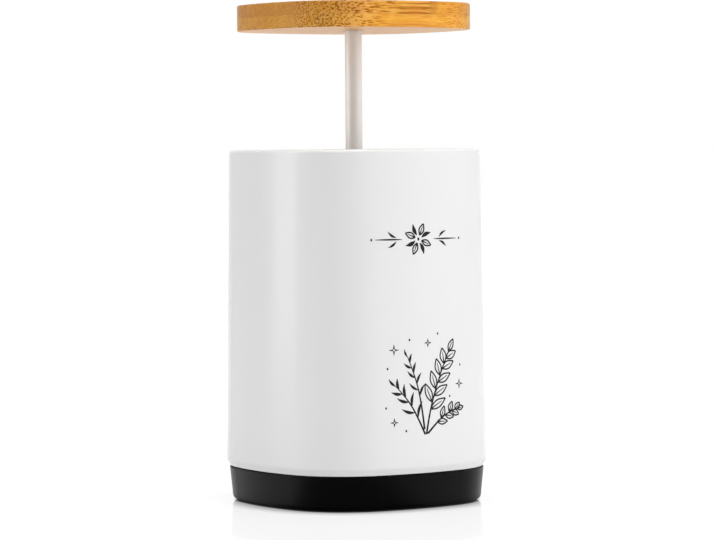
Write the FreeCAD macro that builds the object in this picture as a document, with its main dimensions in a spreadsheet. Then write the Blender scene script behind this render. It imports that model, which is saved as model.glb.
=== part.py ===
import FreeCAD, Part
import math
import os
import Sketcher
from FreeCAD import Placement, Rotation, Vector

# Lift-type toothpick dispenser, in millimetres.
# The origin is on the table under the middle of the base, and +Z points up along the rod.
# It is modelled with the lid raised, which is the joint's zero.

SIZES = {
    # plan outline at the rim: four shallow side arcs joined by four corner arcs
    "rim_width": 64.1,
    "side_bow_radius": 70.9,
    "corner_round": 21.2,
    # heights
    "body_height": 97.8,
    "base_side": 9.5,
    "foot_proud": 0.3,
    "lift_travel": 35.9,
    # outer shell
    "shell_draft": 0.9,
    "shell_wall": 2.4,
    "rim_wall": 1.9,
    "rim_rounding": 0.9,
    "hem_chamfer": 1.3,
    "lid_recess": 3.0,
    "deck_thickness": 2.0,
    "deck_reach": 1.8,
    # inner cup
    "cup_wall": 1.4,
    "cup_floor": 1.6,
    "flange_thickness": 1.2,
    "boss_diameter": 6.0,
    "boss_height": 6.0,
    "boss_cap": 1.0,
    # mouth collar
    "collar_wall": 1.2,
    "mouth_rounding": 0.7,
    "bead_depth": 0.25,
    "bead_height": 1.2,
    "bead_drop": 8.0,
    # base cover
    "base_step": 0.8,
    "base_taper": 5.7,
    "base_rounding": 1.3,
    "base_top_rounding": 0.15,
    "seam_gap": 0.35,
    "seam_gap_depth": 0.6,
    "base_floor": 2.4,
    "spigot_wall": 1.6,
    "spigot_height": 4.0,
    "pillar_diameter": 8.0,
    "pillar_height": 2.6,
    # foot pads
    "foot_diameter": 8.0,
    "foot_recess": 1.2,
    "foot_setback": 12.65,
    "foot_chamfer": 0.25,
    # lift tray
    "tray_height": 13.0,
    "tray_plate": 2.0,
    "skirt_wall": 2.2,
    "cone_height": 4.5,
    "cone_margin": 7.0,
    "cone_land": 3.6,
    "hub_diameter": 10.0,
    "hub_drop": 7.0,
    "hub_web": 2.0,
    "rib_thickness": 1.2,
    "rib_height": 5.0,
    # friction ring
    "groove_height": 2.4,
    "groove_depth": 1.0,
    "groove_drop": 5.5,
    "ring_rounding": 0.4,
    # rod
    "rod_diameter": 4.7,
    "rod_tip_diameter": 4.0,
    "rod_tip_length": 4.4,
    "rod_chamfer": 0.4,
    # lid and its insert
    "lid_thickness": 7.2,
    "lid_rounding": 0.35,
    "insert_diameter": 6.4,
    "insert_length": 5.0,
    "insert_neck": 0.4,
    "insert_band": 1.6,
    # fasteners
    "base_screw_diameter": 2.6,
    "base_screw_head": 5.2,
    "base_screw_head_height": 1.8,
    "base_screw_bite": 6.0,
    "base_screw_sink": 2.2,
    "base_screw_setback": 13.05,
    "tray_screw_diameter": 3.0,
    "tray_screw_head": 5.6,
    "tray_screw_head_height": 2.0,
    "tray_screw_bite": 6.0,
    "washer_diameter": 8.0,
    "washer_thickness": 0.8,
    "cross_width": 0.8,
    "cross_length": 3.0,
    "cross_depth": 1.1,
    # clearances
    "fit_gap": 0.15,
    "lid_gap": 0.6,
    "flange_gap": 0.3,
    "slide_gap": 0.35,
    "ring_gap": 0.1,
    "stop_gap": 0.2,
    "floor_gap": 1.0,
    "thread_gap": 0.05,
    "screw_hole_gap": 0.2,
}

QUARTERS = 4
TOUCH = 1e-3    # what counts as the same place when edges are picked

doc = FreeCAD.newDocument("toothpick_dispenser")
sheet = doc.addObject("Spreadsheet::Sheet", "dims")
for row, (alias, value) in enumerate(SIZES.items(), start=1):
    sheet.set(f"A{row}", alias)
    sheet.set(f"B{row}", str(value))
    sheet.setAlias(f"B{row}", alias)
doc.recompute()


def size(name):
    return f"dims.{name}"


def total(*terms):
    return "(" + " + ".join(terms) + ")"


def less(first, *rest):
    return "(" + " - ".join([first, *rest]) + ")"


def half(term):
    return f"({term} / 2)"


def hole_for(diameter, gap):
    """The diameter of a hole that stands a gap clear all round."""
    return f"({diameter} + 2 * {gap})"


def number(expression):
    return float(sheet.evalExpression(expression))


# levels, from the table upwards
SEAM = total(size("foot_proud"), size("base_side"))
BASE_TOP = less(SEAM, size("seam_gap"))
BASE_FLOOR_TOP = total(size("foot_proud"), size("base_floor"))
CUP_UNDERSIDE = total(BASE_FLOOR_TOP, size("pillar_height"))
CUP_FLOOR_TOP = total(CUP_UNDERSIDE, size("cup_floor"))
SCREW_SEAT = total(size("foot_proud"), size("base_screw_sink"))
LID_SEAT = less(size("body_height"), size("lid_recess"))
CUP_FLANGE_TOP = less(LID_SEAT, size("flange_thickness"))
DECK_TOP = less(CUP_FLANGE_TOP, size("flange_thickness"))
DECK_UNDERSIDE = less(DECK_TOP, size("deck_thickness"))
LID_UNDERSIDE = total(LID_SEAT, size("lift_travel"))
TRAY_BOTTOM = total(CUP_FLOOR_TOP, size("floor_gap"), size("lift_travel"))
TRAY_TOP = total(TRAY_BOTTOM, size("tray_height"))
PLATE_UNDERSIDE = less(TRAY_TOP, size("tray_plate"))
HUB_BOTTOM = less(PLATE_UNDERSIDE, size("hub_drop"))
ROD_BOTTOM = total(HUB_BOTTOM, size("hub_web"))
GROOVE_TOP = less(TRAY_TOP, size("groove_drop"))
COLLAR_BOTTOM = total(TRAY_TOP, size("stop_gap"))
BEAD_BOTTOM = less(LID_SEAT, size("bead_drop"))

# insets of each outline from the rim outline, positive inwards
SEAM_FLARE = f"(({size('body_height')} - {SEAM}) * tan({size('shell_draft')} * 1 deg))"
SHELL_INSIDE = less(size("shell_wall"), SEAM_FLARE)
DECK_OPENING = total(size("shell_wall"), size("deck_reach"))
CUP_OUTSIDE = total(DECK_OPENING, size("fit_gap"))
CUP_INSIDE = total(CUP_OUTSIDE, size("cup_wall"))
COLLAR_OUTSIDE = total(CUP_INSIDE, size("fit_gap"))
COLLAR_INSIDE = total(COLLAR_OUTSIDE, size("collar_wall"))
FLANGE_EDGE = total(size("rim_wall"), size("flange_gap"))
LID_EDGE = total(size("rim_wall"), size("lid_gap"))
TRAY_OUTSIDE = total(CUP_INSIDE, size("slide_gap"))
TRAY_INSIDE = total(TRAY_OUTSIDE, size("skirt_wall"))
GROOVE_FLOOR = total(TRAY_OUTSIDE, size("groove_depth"))
BASE_TOP_EDGE = less(size("base_step"), SEAM_FLARE)
SPIGOT_OUTSIDE = total(SHELL_INSIDE, size("fit_gap"))
SPIGOT_INSIDE = total(SPIGOT_OUTSIDE, size("spigot_wall"))

# places in plan
SCREW_PLACE = less(half(size("rim_width")), size("base_screw_setback"))
FOOT_PLACE = less(half(size("rim_width")), size("foot_setback"))

# the outline's arc centres, which every inset shares
SIDE_CENTRE = less(size("side_bow_radius"), half(size("rim_width")))
ARC_SPAN = less(size("side_bow_radius"), size("corner_round"))
CORNER_CENTRE = f"((sqrt(2 * {ARC_SPAN} ^ 2 - {SIDE_CENTRE} ^ 2) - {SIDE_CENTRE}) / 2)"


def corner_reach(inset):
    """Distance from the axis to an outline's corner."""
    return f"({CORNER_CENTRE} * sqrt(2) + {size('corner_round')} - {inset})"


def new_body(label):
    body = doc.addObject("PartDesign::Body", label)
    body.Label = label
    return body


def new_sketch(body, name, role, level=None, turn=0):
    """A sketch on one of the body's own planes, raised to a level and turned about the plane's normal."""
    sketch = body.newObject("Sketcher::SketchObject", name)
    plane = next(item for item in body.Origin.OriginFeatures if item.Role == role)
    sketch.AttachmentSupport = (plane, [""])
    sketch.MapMode = "FlatFace"
    sketch.AttachmentOffset = Placement(Vector(0, 0, 0), Rotation(Vector(0, 0, 1), turn))
    if level:
        sketch.setExpression("AttachmentOffset.Base.z", level)
    return sketch


def bind(sketch, constraint, expression):
    index = sketch.addConstraint(constraint)
    sketch.setExpression(f"Constraints[{index}]", expression)


def add_outline(sketch, inset):
    """The rounded-square outline, offset inwards: side and corner arcs in turn, tangent all round."""
    side_centre = number(SIDE_CENTRE)
    corner_centre = number(CORNER_CENTRE)
    side_radius = number(less(size("side_bow_radius"), inset))
    corner_radius = number(less(size("corner_round"), inset))
    sweep = math.atan2(corner_centre, corner_centre + side_centre)
    up = Vector(0, 0, 1)
    first = sketch.GeometryCount
    for quarter in range(QUARTERS):
        turn = Rotation(up, 90 * quarter)
        start = quarter * math.pi / 2
        side = Part.Circle(turn.multVec(Vector(-side_centre, 0, 0)), up, side_radius)
        corner = Part.Circle(turn.multVec(Vector(corner_centre, corner_centre, 0)), up, corner_radius)
        sketch.addGeometry(Part.ArcOfCircle(side, start - sweep, start + sweep))
        sketch.addGeometry(Part.ArcOfCircle(corner, start + sweep, start + math.pi / 2 - sweep))
    arcs = range(first, first + 2 * QUARTERS)
    for arc, after in zip(arcs, [*arcs[1:], arcs[0]]):
        sketch.addConstraint(Sketcher.Constraint("Tangent", arc, 2, after, 1))
    for quarter, side in enumerate(arcs[::2]):
        axis = -1 if quarter % 2 == 0 else -2
        sketch.addConstraint(Sketcher.Constraint("PointOnObject", side, 3, axis))
        bind(sketch, Sketcher.Constraint("Distance", -1, 1, side, 3, side_centre), SIDE_CENTRE)
    for side, corner in zip(arcs[2::2], arcs[3::2]):
        sketch.addConstraint(Sketcher.Constraint("Equal", arcs[0], side))
        sketch.addConstraint(Sketcher.Constraint("Equal", arcs[1], corner))
    bind(sketch, Sketcher.Constraint("Radius", arcs[0], side_radius), less(size("side_bow_radius"), inset))
    bind(sketch, Sketcher.Constraint("Radius", arcs[1], corner_radius), less(size("corner_round"), inset))


def add_circle(sketch, diameter, across=None, along=None):
    """A circle at the origin, or at a distance across and along."""
    centre = Vector(number(across) if across else 0, number(along) if along else 0, 0)
    circle = sketch.addGeometry(Part.Circle(centre, Vector(0, 0, 1), number(half(diameter))))
    if across:
        bind(sketch, Sketcher.Constraint("DistanceX", -1, 1, circle, 3, centre.x), across)
    else:
        sketch.addConstraint(Sketcher.Constraint("PointOnObject", circle, 3, -2))
    if along:
        bind(sketch, Sketcher.Constraint("DistanceY", -1, 1, circle, 3, centre.y), along)
    else:
        sketch.addConstraint(Sketcher.Constraint("PointOnObject", circle, 3, -1))
    bind(sketch, Sketcher.Constraint("Diameter", circle, number(diameter)), diameter)


def add_polygon(sketch, corners):
    """A closed polygon, with each corner held by its own two distances from the origin."""
    points = [Vector(number(across), number(along), 0) for across, along in corners]
    first = sketch.GeometryCount
    for start, end in zip(points, [*points[1:], points[0]]):
        sketch.addGeometry(Part.LineSegment(start, end))
    lines = range(first, first + len(points))
    for line, after in zip(lines, [*lines[1:], lines[0]]):
        sketch.addConstraint(Sketcher.Constraint("Coincident", line, 2, after, 1))
    for line, point, (across, along) in zip(lines, points, corners):
        if across == "0":
            sketch.addConstraint(Sketcher.Constraint("PointOnObject", line, 1, -2))
        else:
            bind(sketch, Sketcher.Constraint("DistanceX", -1, 1, line, 1, point.x), across)
        bind(sketch, Sketcher.Constraint("DistanceY", -1, 1, line, 1, point.y), along)


def check_change(body, name, before, adds):
    """Recompute, and stop if a feature that adds didn't add, or one that cuts didn't cut."""
    doc.recompute()
    gained = body.Shape.Volume - before
    if (gained > 0) != adds:
        raise RuntimeError(f"{body.Label}: {name} changed the volume by {gained:.3f} mm3")


def extrude(body, kind, name, sketch, length, down=False, taper=None):
    """A Pad or Pocket of one sketch, up unless down is asked for."""
    before = body.Shape.Volume if body.Tip else 0
    feature = body.newObject(f"PartDesign::{kind}", name)
    feature.Profile = sketch
    feature.setExpression("Length", length)
    feature.Reversed = down if kind == "Pad" else not down
    if taper:
        feature.setExpression("TaperAngle", taper)
    check_change(body, name, before, kind == "Pad")
    return feature


def pad_outline(body, name, level, inset, length, down=False, taper=None):
    sketch = new_sketch(body, f"{name}_sketch", "XY_Plane", level)
    add_outline(sketch, inset)
    return extrude(body, "Pad", name, sketch, length, down, taper)


def pocket_outline(body, name, level, inset, length, down=False, taper=None):
    sketch = new_sketch(body, f"{name}_sketch", "XY_Plane", level)
    add_outline(sketch, inset)
    return extrude(body, "Pocket", name, sketch, length, down, taper)


def repeat_around(body, name, features):
    """The features, four times about the vertical axis."""
    axis = next(item for item in body.Origin.OriginFeatures if item.Role == "Z_Axis")
    pattern = body.newObject("PartDesign::PolarPattern", name)
    pattern.Originals = features
    pattern.Axis = (axis, [""])
    pattern.Angle = 360
    pattern.Occurrences = QUARTERS
    body.Tip = pattern
    doc.recompute()
    return pattern


def revolve(body, kind, name, corners):
    """A Revolution or Groove of a polygon about the vertical axis."""
    before = body.Shape.Volume if body.Tip else 0
    sketch = new_sketch(body, f"{name}_sketch", "XZ_Plane")
    add_polygon(sketch, corners)
    feature = body.newObject(f"PartDesign::{kind}", name)
    feature.Profile = sketch
    feature.ReferenceAxis = (sketch, ["V_Axis"])
    feature.Angle = 360
    check_change(body, name, before, kind == "Revolution")
    return feature


def outline_edges(body, level, inset):
    """Names of the edges of one outline of the body at a level."""
    height = number(level)
    radii = [number(less(size(name), inset)) for name in ("side_bow_radius", "corner_round")]
    found = []
    for index, edge in enumerate(body.Shape.Edges, start=1):
        box = edge.BoundBox
        flat = max(abs(box.ZMin - height), abs(box.ZMax - height)) < TOUCH
        if flat and min(abs(getattr(edge.Curve, "Radius", 0) - radius) for radius in radii) < TOUCH:
            found.append(f"Edge{index}")
    if len(found) != 2 * QUARTERS:
        raise RuntimeError(f"{body.Label}: {len(found)} edges at {height:.3f}")
    return found


def dress_edges(body, kind, name, edges, reach):
    """A Fillet or Chamfer of named edges of the body."""
    base = body.Tip
    feature = body.newObject(f"PartDesign::{kind}", name)
    feature.Base = (base, edges)
    feature.setExpression("Radius" if kind == "Fillet" else "Size", reach)
    doc.recompute()
    return feature


def add_block(sketch, near, far, width):
    """A rectangle from near to far, as wide as width about the sketch's first axis."""
    side = half(width)
    add_polygon(sketch, [(near, f"-{side}"), (far, f"-{side}"), (far, side), (near, side)])


def cut_cross(body, level, across="0"):
    """The cross recess in a screw head that faces down, as its two slots."""
    slots = []
    for name, reach, width in (("slot_across", "cross_length", "cross_width"),
                               ("slot_along", "cross_width", "cross_length")):
        sketch = new_sketch(body, f"{name}_sketch", "XY_Plane", level)
        near = less(across, half(size(reach)))
        far = total(across, half(size(reach)))
        add_block(sketch, near, far, size(width))
        slots.append(extrude(body, "Pocket", name, sketch, size("cross_depth")))
    return slots


def make_outer_shell():
    body = new_body("outer_shell")
    pad_outline(body, "skin", size("body_height"), "0", less(size("body_height"), SEAM),
                down=True, taper=size("shell_draft"))
    pocket_outline(body, "cavity", SEAM, SHELL_INSIDE, less(DECK_UNDERSIDE, SEAM),
                   taper=f"-{size('shell_draft')}")
    pocket_outline(body, "recess", size("body_height"), size("rim_wall"),
                   less(size("body_height"), DECK_TOP), down=True)
    pocket_outline(body, "deck_opening", DECK_TOP, DECK_OPENING, size("deck_thickness"), down=True)
    hem = outline_edges(body, SEAM, f"(-{SEAM_FLARE})")
    dress_edges(body, "Chamfer", "hem", hem, size("hem_chamfer"))
    outside = outline_edges(body, size("body_height"), "0")
    inside = outline_edges(body, size("body_height"), size("rim_wall"))
    dress_edges(body, "Fillet", "rim", outside + inside, size("rim_rounding"))
    return body


def make_inner_cup():
    body = new_body("inner_cup")
    pad_outline(body, "wall", CUP_UNDERSIDE, CUP_OUTSIDE, less(CUP_FLANGE_TOP, CUP_UNDERSIDE))
    pad_outline(body, "flange", DECK_TOP, FLANGE_EDGE, size("flange_thickness"))
    pocket_outline(body, "chamber", CUP_FLANGE_TOP, CUP_INSIDE,
                   less(CUP_FLANGE_TOP, CUP_FLOOR_TOP), down=True)
    # groove that the collar's bead snaps into
    pocket_outline(body, "bead_groove", less(BEAD_BOTTOM, size("thread_gap")),
                   less(CUP_INSIDE, size("bead_depth"), size("thread_gap")),
                   total(size("bead_height"), f"2 * {size('thread_gap')}"))
    boss = new_sketch(body, "boss_sketch", "XY_Plane", CUP_FLOOR_TOP)
    add_circle(boss, size("boss_diameter"), SCREW_PLACE)
    boss_pad = extrude(body, "Pad", "boss", boss, size("boss_height"))
    pilot = new_sketch(body, "pilot_sketch", "XY_Plane", CUP_UNDERSIDE)
    add_circle(pilot, hole_for(size("base_screw_diameter"), size("thread_gap")), SCREW_PLACE)
    depth = less(total(size("cup_floor"), size("boss_height")), size("boss_cap"))
    pilot_pocket = extrude(body, "Pocket", "pilot", pilot, depth)
    repeat_around(body, "bosses", [boss_pad, pilot_pocket])
    return body


def make_mouth_collar():
    body = new_body("mouth_collar")
    pad_outline(body, "liner", COLLAR_BOTTOM, COLLAR_OUTSIDE, less(LID_SEAT, COLLAR_BOTTOM))
    pad_outline(body, "bead", BEAD_BOTTOM, less(CUP_INSIDE, size("bead_depth")), size("bead_height"))
    pad_outline(body, "flange", CUP_FLANGE_TOP, FLANGE_EDGE, size("flange_thickness"))
    pocket_outline(body, "mouth", LID_SEAT, COLLAR_INSIDE, less(LID_SEAT, COLLAR_BOTTOM), down=True)
    mouth = outline_edges(body, LID_SEAT, COLLAR_INSIDE)
    dress_edges(body, "Fillet", "mouth_edge", mouth, size("mouth_rounding"))
    return body


def make_base_cover():
    body = new_body("base_cover")
    side_height = less(size("base_side"), size("seam_gap"))
    pad_outline(body, "side", BASE_TOP, BASE_TOP_EDGE, side_height,
                down=True, taper=f"-{size('base_taper')}")
    # neck that leaves a fine dark gap under the shell's hem
    pad_outline(body, "neck", BASE_TOP, total(BASE_TOP_EDGE, size("seam_gap_depth")), size("seam_gap"))
    pad_outline(body, "spigot", SEAM, SPIGOT_OUTSIDE, size("spigot_height"))
    pocket_outline(body, "hollow", total(SEAM, size("spigot_height")), SPIGOT_INSIDE,
                   less(total(SEAM, size("spigot_height")), BASE_FLOOR_TOP), down=True)
    top = outline_edges(body, BASE_TOP, BASE_TOP_EDGE)
    dress_edges(body, "Fillet", "top_edge", top, size("base_top_rounding"))
    narrowing = f"({side_height} * tan({size('base_taper')} * 1 deg))"
    bottom = outline_edges(body, size("foot_proud"), total(BASE_TOP_EDGE, narrowing))
    dress_edges(body, "Fillet", "bottom_edge", bottom, size("base_rounding"))
    pillar = new_sketch(body, "pillar_sketch", "XY_Plane", BASE_FLOOR_TOP)
    add_circle(pillar, size("pillar_diameter"), SCREW_PLACE)
    pillar_pad = extrude(body, "Pad", "pillar", pillar, size("pillar_height"))
    hole = new_sketch(body, "screw_hole_sketch", "XY_Plane", size("foot_proud"))
    add_circle(hole, hole_for(size("base_screw_diameter"), size("screw_hole_gap")), SCREW_PLACE)
    hole_pocket = extrude(body, "Pocket", "screw_hole", hole, less(CUP_UNDERSIDE, size("foot_proud")))
    sink = new_sketch(body, "screw_sink_sketch", "XY_Plane", size("foot_proud"))
    add_circle(sink, hole_for(size("base_screw_head"), size("screw_hole_gap")), SCREW_PLACE)
    sink_pocket = extrude(body, "Pocket", "screw_sink", sink, size("base_screw_sink"))
    foot = new_sketch(body, "foot_recess_sketch", "XY_Plane", size("foot_proud"))
    add_circle(foot, hole_for(size("foot_diameter"), size("thread_gap")), FOOT_PLACE, FOOT_PLACE)
    foot_pocket = extrude(body, "Pocket", "foot_recess", foot, size("foot_recess"))
    repeat_around(body, "around", [pillar_pad, hole_pocket, sink_pocket, foot_pocket])
    return body


def make_foot_pad(quarter):
    body = new_body(f"foot_pad_{quarter + 1}")
    sketch = new_sketch(body, "disc_sketch", "XY_Plane")
    add_circle(sketch, size("foot_diameter"))
    extrude(body, "Pad", "disc", sketch, total(size("foot_proud"), size("foot_recess")))
    lower_edge = [f"Edge{index}" for index, edge in enumerate(body.Shape.Edges, start=1)
                  if edge.BoundBox.ZMax < TOUCH]
    dress_edges(body, "Chamfer", "lower_edge", lower_edge, size("foot_chamfer"))
    across_sign = "-" if quarter in (1, 2) else ""
    along_sign = "-" if quarter in (2, 3) else ""
    body.setExpression("Placement.Base.x", across_sign + FOOT_PLACE)
    body.setExpression("Placement.Base.y", along_sign + FOOT_PLACE)
    doc.recompute()
    return body


def make_base_screws():
    body = new_body("base_screws")
    head_bottom = less(SCREW_SEAT, size("base_screw_head_height"))
    tip = total(CUP_UNDERSIDE, size("base_screw_bite"))
    head = new_sketch(body, "head_sketch", "XY_Plane", SCREW_SEAT)
    add_circle(head, size("base_screw_head"), SCREW_PLACE)
    head_pad = extrude(body, "Pad", "head", head, size("base_screw_head_height"), down=True)
    shank = new_sketch(body, "shank_sketch", "XY_Plane", SCREW_SEAT)
    add_circle(shank, size("base_screw_diameter"), SCREW_PLACE)
    shank_pad = extrude(body, "Pad", "shank", shank, less(tip, SCREW_SEAT))
    slots = cut_cross(body, head_bottom, SCREW_PLACE)
    repeat_around(body, "four", [head_pad, shank_pad, *slots])
    return body


def make_lift_tray():
    body = new_body("lift_tray")
    pad_outline(body, "block", TRAY_BOTTOM, TRAY_OUTSIDE, size("tray_height"))
    pocket_outline(body, "hollow", TRAY_BOTTOM, TRAY_INSIDE, less(size("tray_height"), size("tray_plate")))
    groove = new_sketch(body, "groove_sketch", "XY_Plane", GROOVE_TOP)
    add_outline(groove, CUP_INSIDE)
    add_outline(groove, GROOVE_FLOOR)
    extrude(body, "Pocket", "groove", groove, size("groove_height"), down=True)
    # hub below the plate, and the cone that leans the picks outwards above it
    cone_radius = less(half(size("rim_width")), COLLAR_INSIDE, size("cone_margin"))
    hub_radius = half(size("hub_diameter"))
    revolve(body, "Revolution", "hub_and_cone", [
        ("0", HUB_BOTTOM),
        (hub_radius, HUB_BOTTOM),
        (hub_radius, PLATE_UNDERSIDE),
        (cone_radius, PLATE_UNDERSIDE),
        (cone_radius, TRAY_TOP),
        (size("cone_land"), total(TRAY_TOP, size("cone_height"))),
        ("0", total(TRAY_TOP, size("cone_height"))),
    ])
    # ribs from the hub to the skirt's corners
    rib = new_sketch(body, "rib_sketch", "XY_Plane", PLATE_UNDERSIDE, turn=45)
    add_block(rib, half(hub_radius), corner_reach(less(TRAY_INSIDE, half(size("skirt_wall")))),
              size("rib_thickness"))
    rib_pad = extrude(body, "Pad", "rib", rib, size("rib_height"), down=True)
    repeat_around(body, "ribs", [rib_pad])
    # rod socket and screw hole
    socket_radius = total(half(size("rod_diameter")), size("thread_gap"))
    hole_radius = total(half(size("tray_screw_diameter")), size("thread_gap"))
    cone_top = total(TRAY_TOP, size("cone_height"))
    revolve(body, "Groove", "socket", [
        ("0", HUB_BOTTOM),
        (hole_radius, HUB_BOTTOM),
        (hole_radius, ROD_BOTTOM),
        (socket_radius, ROD_BOTTOM),
        (socket_radius, cone_top),
        ("0", cone_top),
    ])
    return body


def make_friction_ring():
    body = new_body("friction_ring")
    sketch = new_sketch(body, "band_sketch", "XY_Plane", GROOVE_TOP)
    lip = total(CUP_INSIDE, size("ring_gap"))
    add_outline(sketch, lip)
    add_outline(sketch, total(GROOVE_FLOOR, f"-{size('thread_gap')}"))
    extrude(body, "Pad", "band", sketch, size("groove_height"), down=True)
    groove_bottom = less(GROOVE_TOP, size("groove_height"))
    lips = outline_edges(body, GROOVE_TOP, lip) + outline_edges(body, groove_bottom, lip)
    dress_edges(body, "Fillet", "lip", lips, size("ring_rounding"))
    return body


def make_lift_rod():
    body = new_body("lift_rod")
    rod = half(size("rod_diameter"))
    tip = half(size("rod_tip_diameter"))
    bore = total(half(size("tray_screw_diameter")), size("thread_gap"))
    bore_end = total(ROD_BOTTOM, size("tray_screw_bite"), size("floor_gap"))
    end = total(LID_UNDERSIDE, size("rod_tip_length"))
    chamfer = size("rod_chamfer")
    revolve(body, "Revolution", "turned", [
        (bore, ROD_BOTTOM),
        (less(rod, chamfer), ROD_BOTTOM),
        (rod, total(ROD_BOTTOM, chamfer)),
        (rod, LID_UNDERSIDE),
        (tip, LID_UNDERSIDE),
        (tip, less(end, chamfer)),
        (less(tip, chamfer), end),
        ("0", end),
        ("0", bore_end),
        (bore, bore_end),
    ])
    return body


def make_tray_washer():
    body = new_body("tray_washer")
    bore = total(half(size("tray_screw_diameter")), size("thread_gap"))
    bottom = less(HUB_BOTTOM, size("washer_thickness"))
    revolve(body, "Revolution", "stamped", [
        (bore, bottom),
        (half(size("washer_diameter")), bottom),
        (half(size("washer_diameter")), HUB_BOTTOM),
        (bore, HUB_BOTTOM),
    ])
    return body


def make_tray_screw():
    body = new_body("tray_screw")
    seat = less(HUB_BOTTOM, size("washer_thickness"))
    head_bottom = less(seat, size("tray_screw_head_height"))
    end = total(ROD_BOTTOM, size("tray_screw_bite"))
    shank = half(size("tray_screw_diameter"))
    head = half(size("tray_screw_head"))
    chamfer = size("rod_chamfer")
    revolve(body, "Revolution", "turned", [
        ("0", head_bottom),
        (less(head, chamfer), head_bottom),
        (head, total(head_bottom, chamfer)),
        (head, seat),
        (shank, seat),
        (shank, less(end, chamfer)),
        (less(shank, chamfer), end),
        ("0", end),
    ])
    cut_cross(body, head_bottom)
    return body


def make_lid_insert():
    body = new_body("lid_insert")
    bore = total(half(size("rod_tip_diameter")), size("thread_gap"))
    outside = half(size("insert_diameter"))
    neck = less(outside, size("insert_neck"))
    end = total(LID_UNDERSIDE, size("insert_length"))
    lower_band = total(LID_UNDERSIDE, size("insert_band"))
    upper_band = less(end, size("insert_band"))
    revolve(body, "Revolution", "turned", [
        (bore, LID_UNDERSIDE),
        (outside, LID_UNDERSIDE),
        (outside, lower_band),
        (neck, lower_band),
        (neck, upper_band),
        (outside, upper_band),
        (outside, end),
        (bore, end),
    ])
    return body


def make_bamboo_lid():
    body = new_body("bamboo_lid")
    pad_outline(body, "board", LID_UNDERSIDE, LID_EDGE, size("lid_thickness"))
    top = total(LID_UNDERSIDE, size("lid_thickness"))
    edges = outline_edges(body, LID_UNDERSIDE, LID_EDGE) + outline_edges(body, top, LID_EDGE)
    dress_edges(body, "Fillet", "eased_edges", edges, size("lid_rounding"))
    hole = new_sketch(body, "insert_hole_sketch", "XY_Plane", LID_UNDERSIDE)
    add_circle(hole, hole_for(size("insert_diameter"), size("thread_gap")))
    extrude(body, "Pocket", "insert_hole", hole, size("insert_length"))
    return body


parts = [
    make_outer_shell(),
    make_inner_cup(),
    make_mouth_collar(),
    make_base_cover(),
    *[make_foot_pad(quarter) for quarter in range(QUARTERS)],
    make_base_screws(),
    make_lift_tray(),
    make_friction_ring(),
    make_lift_rod(),
    make_tray_washer(),
    make_tray_screw(),
    make_lid_insert(),
    make_bamboo_lid(),
]

doc.recompute()
for item in doc.Objects:
    faults = {"Invalid", "Error"} & set(item.State)
    if faults:
        raise RuntimeError(f"{item.Label}: {faults}")
for part in parts:
    if part.Shape.isNull() or not part.Shape.isValid():
        raise RuntimeError(f"{part.Label}: no valid shape")

os.makedirs("parts", exist_ok=True)
for part in parts:
    part.Shape.exportStep(f"parts/{part.Label}.step")
    box = part.Shape.BoundBox
    print(f"{part.Label}: {len(part.Shape.Solids)} solid(s), {part.Shape.Volume:.1f} mm3, "
          f"z {box.ZMin:.2f} to {box.ZMax:.2f}, width {box.XLength:.2f}")
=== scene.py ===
import bpy
import bmesh
import math
from mathutils import Matrix, Vector


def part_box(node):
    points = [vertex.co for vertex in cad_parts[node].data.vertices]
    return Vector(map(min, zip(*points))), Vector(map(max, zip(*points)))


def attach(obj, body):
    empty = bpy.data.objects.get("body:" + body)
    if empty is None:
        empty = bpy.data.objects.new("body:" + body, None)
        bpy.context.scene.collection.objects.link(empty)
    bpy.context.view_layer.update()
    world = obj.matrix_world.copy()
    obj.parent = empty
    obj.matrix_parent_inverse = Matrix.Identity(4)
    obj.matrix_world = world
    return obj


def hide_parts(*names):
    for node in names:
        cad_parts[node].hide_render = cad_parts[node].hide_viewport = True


# Lift-type toothpick dispenser: finer pieces, finishes, print, floor, lamps and camera
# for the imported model. Lengths in the dictionaries are millimetres unless a note says otherwise.

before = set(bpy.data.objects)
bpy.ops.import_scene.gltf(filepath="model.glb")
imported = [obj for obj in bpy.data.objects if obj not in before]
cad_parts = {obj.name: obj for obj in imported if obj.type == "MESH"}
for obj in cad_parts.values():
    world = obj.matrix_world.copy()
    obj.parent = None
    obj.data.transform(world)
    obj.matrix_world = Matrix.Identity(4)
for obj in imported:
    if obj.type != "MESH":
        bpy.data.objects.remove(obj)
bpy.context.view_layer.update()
mm = 0.001
weldWithin = 1e-6          # metres
cutWithin = 1e-7
scene = bpy.context.scene
print("frame loaded:", len(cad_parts), "nodes")

# camera

camera = {
    "lens": 163.725,       # on a 36 mm sensor
    "sensor": 36.0,
    "distance": 908.15,    # level, from the rod
    "height": 99.44,
    "aside": 0.839,        # to the camera's right
    "azimuth": 34.19,      # degrees from -Y towards -X
    "pitch": 2.230,        # degrees down
    "roll": 0.420,         # degrees clockwise
    "clip": (0.01, 50),    # metres
}


def addCamera(c):
    azimuth, pitch, roll = (math.radians(c[key]) for key in ("azimuth", "pitch", "roll"))
    ahead = Vector((math.sin(azimuth), math.cos(azimuth), 0))
    right = Vector((math.cos(azimuth), -math.sin(azimuth), 0))
    place = right * c["aside"] - ahead * c["distance"] + Vector((0, 0, c["height"]))
    data = bpy.data.cameras.new("camera")
    data.lens = c["lens"]
    data.sensor_width = c["sensor"]
    data.clip_start, data.clip_end = c["clip"]
    cam = bpy.data.objects.new("camera", data)
    cam.matrix_world = (Matrix.Translation(place * mm) @ Matrix.Rotation(-azimuth, 4, "Z")
                        @ Matrix.Rotation(math.pi / 2 - pitch, 4, "X") @ Matrix.Rotation(-roll, 4, "Z"))
    scene.collection.objects.link(cam)
    scene.camera = cam


addCamera(camera)
scene.view_settings.view_transform = "Standard"
print("camera placed")


# node trees

noiseSpread = (0.3, 0.7)       # most of a noise lies between these


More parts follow.
